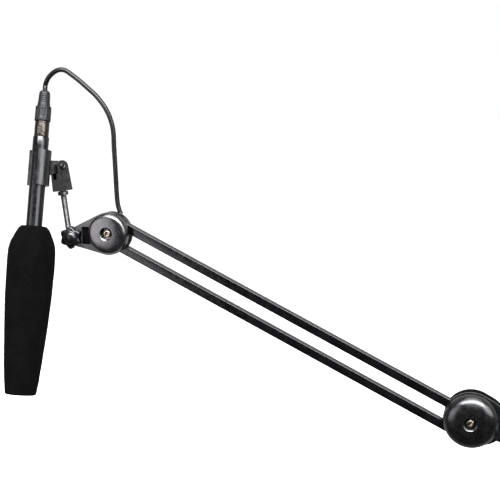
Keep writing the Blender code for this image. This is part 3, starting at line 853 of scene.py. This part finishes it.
def clamp():
    keep_node("clamp_frame", "black_paint", 0.0014, 4)
    low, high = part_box("desk_pad")
    half = (high - low) / 2
    base = rounded_box(half.x, half.y, 0.003, 6)
    place = Matrix.Translation((low + high) / 2)
    pad = prism("desk_pad_moulded", base, -half.z, half.z, place)
    ribs = 9
    for i in range(ribs):
        y = half.y * 1.7 * (i / (ribs - 1) - 0.5)
        line = [(-half.x - MM, y - 0.0004), (half.x + MM, y - 0.0004)]
        line += [(half.x + MM, y + 0.0004), (-half.x - MM, y + 0.0004)]
        combined(pad, prism("groove", line, -half.z - MM, -half.z + 0.0006, place))
    bevelled(pad, 0.0003, 2)
    put(pad, "clamp", "desk_pad", "rubber")

    under = Matrix.Translation((pivot("screw_turn").x, 0, 0))
    cup = [(0, -0.0404), (0.0052, -0.0404), (0.0060, -0.0400), (0.0155, -0.0400)]
    cup += [(0.0175, -0.0415), (0.0175, -0.0445), (0.0082, -0.047), (0.0078, -0.0555)]
    cup += [(0.0063, -0.0555), (0.0063, -0.0495), (0, -0.0495)]
    foot = turned("pressure_pad_turned", cup, under, 0.0006)
    put(foot, "clamp_pad", "pressure_pad", "rubber")

    rings = [[Vector((0, 0, -0.132))]]
    for r, z in soften([(0.0065, -0.132), (0.0085, -0.130), (0.0085, -0.113)], 0.0008, closed=False):
        rings.append(circle(r, z, 40))
    rings.append(circle(0.0050, -0.1122, 40))
    rings += screw_thread(0.0059, 0.0008, 0.002, -0.1115, -0.0560)
    rings += [circle(0.0050, -0.0552, 40), circle(0.0050, -0.0500, 40)]
    rings += [circle(0.0046, -0.0498, 40), [Vector((0, 0, -0.0498))]]
    screw = loft("clamp_screw_threaded", rings, under, crease=40)
    bar_low, bar_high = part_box("clamp_bar")
    across = axis_frame((bar_low + bar_high) / 2, FACE_Y)
    combined(screw, drill(0.0033, -0.02, 0.02, across))
    put(screw, "clamp_screw_body", "clamp_screw", "steel")
    bar = [(0, -0.036), (0.0030, -0.0358), (0.0042, -0.0345), (0.0042, -0.0335), (0.0030, -0.0325)]
    bar += [(r, -z) for r, z in reversed(bar)]
    piece = turned("clamp_bar_turned", bar, across, 0.0008, 48)
    put(piece, "clamp_bar_body", "clamp_bar", "steel")


# ---------------------------------------------------------------- microphone set


def knob_and_post():
    at = front_frame(KNOB)
    lobes = 6

    def star(turn, height):
        return -0.0015 * math.cos(lobes * turn)

    face = (0.0125, 0.0215)
    stations = [(0.0046, face[0]), (0.0115, face[0])]
    stations += [(0.0131, face[0] + 0.0003), (0.0138, face[0] + 0.0012)]
    stations += [(0.0139, face[0] + 0.0022), (0.0139, face[1] - 0.0030)]
    stations += [(0.0137, face[1] - 0.0016), (0.0131, face[1] - 0.0006), (0.0120, face[1])]
    share = [0, 0.85, 0.95, 1, 1, 1, 0.98, 0.92, 0.80]
    segments = 144
    rings = []
    for (radius, height), part in zip(stations, share):
        shape = (lambda turn, z, part=part: part * star(turn, z)) if part else None
        rings.append(circle(radius, height, segments, shape))
    rings.append(circle(0.0100, face[1] + 0.0002, segments, lambda t, z: 0.35 * star(t, z)))
    for radius, height in flow(((0.0086, 0.0221), (0.0074, 0.0234), (0.0054, 0.0246), (0.0028, 0.0253)), 5):
        rings.append(circle(radius, height, segments))
    rings.append([Vector((0, 0, 0.0256))])
    rings = rings + [[Vector((0, 0, 0.0213))], circle(0.0046, 0.0213, segments)]
    knob = loft("head_knob_moulded", rings, at, loop=True, crease=38)
    put(knob, "knob", "head_knob", "black_plastic")

    seat = -PLATE_OUT - GAP
    stud = [(0, -0.0145), (0.0075, -0.0145), (0.0075, seat), (STUD_R, seat)]
    stud += [(STUD_R, 0.0208), (0, 0.0208)]
    put(turned("knob_stud_turned", stud, at, 0.0005, 64), "post", "knob_stud", "steel")

    wide = PLATE_IN - GAP
    foot = (local_xz(ROD_FOOT, KNOB)[0], 0)
    block = prism("post_block_cast", drop_outline((0, 0), 0.0100, foot, 0.0072), -wide, wide, at)
    combined(block, drill(STUD_R + GAP, -0.02, 0.02, at))
    up = axis_frame(ROD_FOOT, POST_UP)
    combined(block, drill(ROD_R + GAP, -0.0035, 0.02, up))
    put(bevelled(block, 0.0007, 3), "post", "post_block", "black_paint")

    rings = [[Vector((0, 0, -0.003))], circle(ROD_R - 0.0005, -0.003, 40), circle(ROD_R, -0.0025, 40)]
    rings += screw_thread(ROD_R, 0.0003, 0.001, -0.002, 0.0535)
    for r, z in soften(
        [(ROD_R, 0.0538), (0.0071, 0.0542), (0.0071, 0.0588), (0.0048, 0.0592), (ROD_R, 0.0597)],
        0.0003,
        closed=False,
    ):
        rings.append(circle(r, z, 40))
    rings += [circle(ROD_R, 0.0695, 40), circle(ROD_R - 0.0005, 0.0700, 40), [Vector((0, 0, 0.0700))]]
    rod = loft("post_rod_threaded", rings, up, crease=45)
    put(rod, "post", "post_rod", "steel", "post_steel")


def yoke():
    half = 0.0083
    foot = 0.0098
    deep = 0.0099
    outline = [(-foot, -0.0325), (foot, -0.0325)] + arc((0, 0), half, 0, 180, 40)
    body = prism("yoke_cast", outline, -deep, deep, YOKE_FRAME)
    bar = [(-0.02, -0.0165), (0.02, -0.0165), (0.02, 0.02), (-0.02, 0.02)]
    combined(body, prism("slot", bar, -0.0047, 0.0047, YOKE_FRAME))
    combined(body, drill(SCREW_R + GAP, -0.02, 0.02, YOKE_FRAME))
    up = axis_frame(ROD_FOOT, POST_UP)
    combined(body, drill(ROD_R + GAP, 0.05, 0.0705, up))
    put(bevelled(body, 0.0008, 4), "yoke_body", "yoke", "black_paint", "clip_plastic")
    front = deep + GAP
    line = [(0, -0.0165), (SCREW_R, -0.0165), (SCREW_R, front), (0.0046, front)]
    line += [(0.0046, front + 0.0012), (0.0034, front + 0.0024), (0, front + 0.0027)]
    screw = slotted_head("yoke_screw_turned", line, YOKE_FRAME, front + 0.0014, 0.006, 1.0)
    put(screw, "yoke_body", "yoke_screw", "nickel", "black_screw")
    nut = prism("yoke_nut_hex", arc((0, 0), 0.0052, 0, 360, 6)[:-1], -front - 0.004, -front, YOKE_FRAME)
    combined(nut, drill(SCREW_R + GAP, -0.03, 0, YOKE_FRAME))
    put(bevelled(nut, 0.0003, 2), "yoke_body", "yoke_nut", "nickel")


def clip():
    """The open sleeve, with a thicker spine and rounded lips."""
    start, end = 54, 306
    outline = arc((0, 0), 0.0154, start, end, 72) + arc((0, 0), MIC_R + GAP, end, start, 72)
    low, high = -0.0293, 0.0180
    body = prism("clip_moulded", outline, low, high, MIC_FRAME)
    lug = arc((-MIC_OUT, 0), 0.0078, 90, 270, 30) + [(-0.0130, -0.0145), (-0.0130, 0.0060)]
    combined(body, prism("lug", lug, -0.0043, 0.0043, LUG_FRAME), "UNION")
    across = LUG_FRAME @ Matrix.Translation((-MIC_OUT, 0, 0))
    combined(body, drill(SCREW_R + GAP, -0.02, 0.02, across))
    put(bevelled(body, 0.0006, 3, 45), "mic_set", "clip", "black_plastic", "clip_plastic")


def microphone():
    """A slim tube, its front part slotted, with a fine groove near the tail."""
    columns, slot_half = 8, 0.30
    slot_long, slot_pitch = 0.010, 0.014
    slots_low, slots_high = -0.2860, -0.1000
    heights = [-0.2910, -0.2906]
    z = slots_low
    edges = []
    while z + slot_long < slots_high:
        edges.append((z, z + slot_long))
        heights += [z - 0.00015, z, z + slot_long, z + slot_long + 0.00015]
        z += slot_pitch
    heights += [-0.0900, 0.0220, 0.0222, 0.0228, 0.0230, MIC_TOP - 0.0008, MIC_TOP - 0.0003]

    def tube(turn, height):
        inside = any(low - 1e-6 <= height <= high + 1e-6 for low, high in edges)
        phase = (turn * columns / (2 * math.pi)) % 1
        if inside and abs(phase - 0.5) < slot_half:
            return -0.0007
        if 0.0221 < height < 0.0229:
            return -0.0003
        if height < -0.2908 or height > MIC_TOP - 0.0004:
            return -0.0002
        return 0.0

    segments = 160
    inner = MIC_R - 0.0012
    rings = [circle(inner, -0.2910, segments)]
    rings += [circle(MIC_R, height, segments, tube) for height in heights]
    rings += [circle(MIC_R - 0.0006, MIC_TOP, segments), [Vector((0, 0, MIC_TOP))]]
    rings += [[Vector((0, 0, MIC_TOP - 0.004))], circle(inner, MIC_TOP - 0.004, segments)]
    body = loft("microphone_tube", rings, MIC_FRAME, loop=True, crease=30)
    put(body, "mic_set", "microphone", "mic_paint")


def windscreen():
    """Open-cell foam: a blunt bullet with a porous skin."""
    bore = MIC_R + GAP
    mouth = -0.0835
    tip_radius = 0.0192
    skin_depth = 0.00038
    tip_depth = 0.0002
    outer = flow(
        (
            (0.0164, mouth),
            (0.0178, -0.0846),
            (0.0212, -0.0888),
            (0.0250, -0.0966),
            (0.0285, -0.1048),
            (0.0303, -0.1128),
            (0.0309, -0.1220),
            (0.0309, -0.1534),
            (0.0298, -0.1850),
            (0.0281, -0.2164),
            (0.0258, -0.2480),
            (0.0233, -0.2793),
            (0.0213, -0.2972),
            (0.0206, -0.3028),
            (tip_radius, -0.3048),
        ),
        40,
    )
    skin = evenly([Vector((r, z, 0)) for r, z in outer], 190)
    segments = 168

    def pitted(ring, depth):
        made = []
        for point in ring:
            cell = noise.noise(point * 620) * 0.6 + noise.noise(point * 1500) * 0.4
            swell = noise.noise(point * 55)
            out = Vector((point.x, point.y, 0)).normalized()
            made.append(point + out * (depth * cell + 0.00035 * swell))
        return made

    rings = [circle(bore, mouth, segments), circle(0.0136, -0.0834, segments)]
    rings += [pitted(circle(p.x, p.y, segments), skin_depth) for p in skin]
    for share in (0.8, 0.55, 0.3):
        end = circle(tip_radius * share, -0.3050 + 0.0004 * (1 - share), segments)
        rings.append(pitted(end, tip_depth))
    rings += [[Vector((0, 0, -0.3046))], [Vector((0, 0, -0.2930))]]
    rings.append(circle(bore, -0.2922, segments))
    foam = loft("windscreen_foam", rings, MIC_FRAME, loop=True, crease=60)
    put(foam, "windscreen", "foam_windscreen", "foam")


def connector():
    low = MIC_TOP + GAP
    shell = [(0, low), (0.0094, low), (0.0096, low + 0.0006), (0.0096, 0.0396), (0.0093, 0.0399)]
    shell += [(0.0093, 0.0404), (0.0096, 0.0407), (0.0096, 0.0528), (0.0093, 0.0531)]
    shell += [(0.0093, 0.0537), (0.0096, 0.0540), (0.0096, 0.0556), (0.0088, 0.0563), (0, 0.0563)]
    piece = turned("xlr_shell_turned", shell, MIC_FRAME, 0.0002)
    made = [put(piece, "mic_set", "xlr_shell", "nickel", "shell_nickel")]

    flutes = 14

    def fluted(turn, height):
        part = max(0.0, min(1.0, (height - 0.0600) / 0.003, (0.0745 - height) / 0.003))
        return -0.00045 * part * (0.5 + 0.5 * math.cos(flutes * turn))

    rows = flow(((0.0100, 0.0566), (0.0105, 0.0572), (0.0106, 0.0600), (0.0106, 0.0640)), 6)
    rows += flow(((0.0106, 0.0650), (0.0105, 0.0700), (0.0104, 0.0748), (0.0097, 0.0764)), 8)
    rings = [[Vector((0, 0, 0.0566))]] + [circle(r, z, 168, fluted) for r, z in rows]
    rings.append([Vector((0, 0, 0.0764))])
    piece = loft("xlr_grip_moulded", rings, MIC_FRAME)
    made.append(put(piece, "mic_set", "xlr_grip", "rubber", "grip_rubber"))

    def ribbed(turn, height):
        if not 0.0805 < height < 0.0930:
            return 0.0
        return -0.0003 * (0.5 - 0.5 * math.cos(2 * math.pi * (height - 0.0805) / 0.0025))

    body = flow(((0.0085, 0.0767), (0.0084, 0.0785), (0.0080, 0.0825), (0.0077, 0.0875)), 20)
    body += flow(((0.0077, 0.0880), (0.0074, 0.0920), (0.0067, 0.0955), (0.0049, BOOT_TOP)), 20)
    rings = [[Vector((0, 0, 0.0767))]] + [circle(r, z, 64, ribbed) for r, z in body]
    rings.append([Vector((0, 0, BOOT_TOP))])
    piece = loft("xlr_boot_moulded", rings, MIC_FRAME)
    made.append(put(piece, "mic_set", "xlr_boot", "rubber", "grip_rubber"))

    tab = soften([(-0.0026, 0.0380), (0.0026, 0.0380), (0.0026, 0.0500), (-0.0026, 0.0500)], 0.0009)
    flat = LATCH_FRAME @ Matrix(((1, 0, 0, 0), (0, 0, 1, 0), (0, 1, 0, 0), (0, 0, 0, 1)))
    latch = prism("xlr_latch_pressed", tab, 0.0100, 0.0114, flat)
    made.append(put(bevelled(latch, 0.0003, 3), "latch", "xlr_latch", "steel", "shell_nickel"))
    return made


# ---------------------------------------------------------------- cable


CABLE_ROUTE = (
    (0.0058, 0, 0.0345),
    (0.0044, 0, 0.0444),
    (0.0034, 0, 0.0644),
    (0.0024, 0, 0.0895),
    (0.0013, 0, 0.1146),
    (0.0006, 0, 0.1343),
    (-0.0036, 0, 0.1512),
    (-0.0112, -0.0003, 0.1663),
    (-0.0228, -0.0006, 0.1805),
    (-0.0340, -0.0010, 0.1903),
    (-0.0438, -0.0014, 0.1987),
    (-0.0553, -0.0018, 0.2073),
    (-0.0635, -0.0022, 0.2127),
    (-0.0700, -0.0026, 0.2143),
    (-0.0775, -0.0030, 0.2127),
    (-0.0843, -0.0034, 0.2081),
    (-0.0895, -0.0038, 0.2022),
)


def tube_rings(route, radius, segments):
    """Rings round a route, carried along it without twist."""
    side = Vector((0, 1, 0))
    rings = []
    for i, point in enumerate(route):
        along = (route[min(i + 1, len(route) - 1)] - route[max(i - 1, 0)]).normalized()
        side = (side - along * side.dot(along)).normalized()
        up = along.cross(side)
        ring = []
        for k in range(segments):
            turn = 2 * math.pi * k / segments
            ring.append(point + side * (radius * math.cos(turn)) + up * (radius * math.sin(turn)))
        rings.append(ring)
    return rings


def cable(plug):
    """One lead in three lengths, cut at two points along its route."""
    start = MIC_MID + MIC_UP * (BOOT_TOP + GAP)
    points = [GLAND_AT + GLAND_AXIS * reach for reach in (-0.0014, 0.003)]
    points += [HEAD + Vector(point) for point in CABLE_ROUTE]
    points += [start + MIC_UP * reach for reach in (0.008, 0.004, 0)]
    count = 180
    route = evenly(flow(points, 16), count)
    rings = tube_rings(route, CABLE_R, 32)
    cuts = (0, int(count * 0.40), int(count * 0.68), count - 1)
    lengths = (
        ("mic_cable_foot", "head_hub", "post", "object", []),
        ("mic_cable_bow", "post", "yoke_body", "object", []),
        ("mic_cable_tail", "yoke_body", "mic_set", "connector", plug),
    )
    for (name, a, b, far_end, pieces), low, high in zip(lengths, cuts, cuts[1:]):
        part = rings[low : high + 1]
        path = route[low : high + 1]
        ends = [path[0]], [path[-1]]
        piece = loft(name, [ends[0], *part, ends[1]], Matrix.Identity(4), crease=60)
        put(piece, None, "mic_cable", "cable")
        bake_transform(piece)


# ---------------------------------------------------------------- stage


def floor():
    reach = 40
    bm = bmesh.new()
    corners = [(-reach, -reach), (reach, -reach), (reach, reach), (-reach, reach)]
    bm.faces.new([bm.verts.new((x, y, 0)) for x, y in corners])
    place = Matrix.Translation((0, 0, cad_box[0].z))
    sheet = object_from("floor", bm, place)
    material = bpy.data.materials.new("pale_floor")
    material.use_nodes = True
    shader = material.node_tree.nodes["Principled BSDF"]
    shader.inputs["Base Color"].default_value = (0.9, 0.9, 0.9, 1)
    shader.inputs["Roughness"].default_value = 0.9
    shader.inputs["Specular IOR Level"].default_value = 0.1
    sheet.data.materials.append(material)
    sheet.visible_glossy = False


def area_light(name, at, aim, size, power, colour=(1, 1, 1)):
    data = bpy.data.lights.new(name, "AREA")
    data.shape = "RECTANGLE"
    data.size, data.size_y = size
    data.energy = power
    data.color = colour
    lamp = bpy.data.objects.new(name, data)
    bpy.context.scene.collection.objects.link(lamp)
    lamp.location = at
    lamp.rotation_mode = "QUATERNION"
    lamp.rotation_quaternion = (aim - at).to_track_quat("-Z", "Y")
    lamp.visible_camera = False


def studio():
    """A white room at the back, three soft boxes in front and a soft sun."""
    world = bpy.data.worlds.new("studio")
    world.use_nodes = True
    tree = world.node_tree
    tree.nodes.clear()
    coords = tree.nodes.new("ShaderNodeTexCoord")
    split = tree.nodes.new("ShaderNodeSeparateXYZ")
    ramp = tree.nodes.new("ShaderNodeMapRange")
    ramp.interpolation_type = "SMOOTHSTEP"
    ramp.inputs["From Min"].default_value = -0.55
    ramp.inputs["From Max"].default_value = 0.55
    ramp.inputs["To Min"].default_value = 0.02
    ramp.inputs["To Max"].default_value = 0.75
    soft = tree.nodes.new("ShaderNodeBackground")
    soft.inputs["Color"].default_value = (1, 1, 1, 1)
    plain = tree.nodes.new("ShaderNodeBackground")
    plain.inputs["Color"].default_value = (1, 1, 1, 1)
    plain.inputs["Strength"].default_value = 1.0
    seen = tree.nodes.new("ShaderNodeLightPath")
    mix = tree.nodes.new("ShaderNodeMixShader")
    out = tree.nodes.new("ShaderNodeOutputWorld")
    link = tree.links.new
    link(coords.outputs["Generated"], split.inputs["Vector"])
    link(split.outputs["Y"], ramp.inputs["Value"])
    link(ramp.outputs["Result"], soft.inputs["Strength"])
    link(seen.outputs["Is Camera Ray"], mix.inputs["Fac"])
    link(soft.outputs["Background"], mix.inputs[1])
    link(plain.outputs["Background"], mix.inputs[2])
    link(mix.outputs["Shader"], out.inputs["Surface"])
    bpy.context.scene.world = world

    middle = (HEAD + ELBOW) / 2
    area_light("left_box", HEAD + Vector((-1.5, -2.0, 0.0)), HEAD, (1.6, 1.4), 36, (1.0, 0.955, 1.0))
    area_light("key_box", middle + Vector((0.35, -2.0, 2.3)), middle, (3.8, 1.3), 600, (0.96, 0.98, 1.0))
    side = HEAD + Vector((2.02, -1.36, 0.77))
    area_light("right_box", side, HEAD, (1.8, 1.4), 66, (0.97, 0.98, 1.0))
    sun = bpy.data.lights.new("soft_sun", "SUN")
    sun.energy = 2.6
    sun.angle = math.radians(50)
    lamp = bpy.data.objects.new("soft_sun", sun)
    lamp.rotation_mode = "QUATERNION"
    lamp.rotation_quaternion = Vector((-0.1, 0.15, -1)).to_track_quat("-Z", "Y")
    bpy.context.scene.collection.objects.link(lamp)
    bpy.context.scene.view_settings.view_transform = "Standard"


EYE_FROM_HEAD = Vector((0.529, -1.3, 0.181))
YAW = math.radians(-14.74)
PITCH_DOWN = math.radians(8.39)
LENS_MM = 75.6


def camera():
    data = bpy.data.cameras.new("camera")
    data.sensor_width = 36
    data.lens = LENS_MM
    eye = bpy.data.objects.new("camera", data)
    bpy.context.scene.collection.objects.link(eye)
    eye.location = HEAD + EYE_FROM_HEAD
    level = math.cos(PITCH_DOWN)
    ahead = Vector((math.sin(YAW) * level, math.cos(YAW) * level, -math.sin(PITCH_DOWN)))
    eye.rotation_mode = "QUATERNION"
    eye.rotation_quaternion = ahead.to_track_quat("-Z", "Y")
    bpy.context.scene.camera = eye


camera()
base_hub()
elbow_hub()
head_hub()
cable_gland()
pins()
arms()
clamp()
knob_and_post()
yoke()
clip()
microphone()
windscreen()
cable(connector())
floor()
studio()
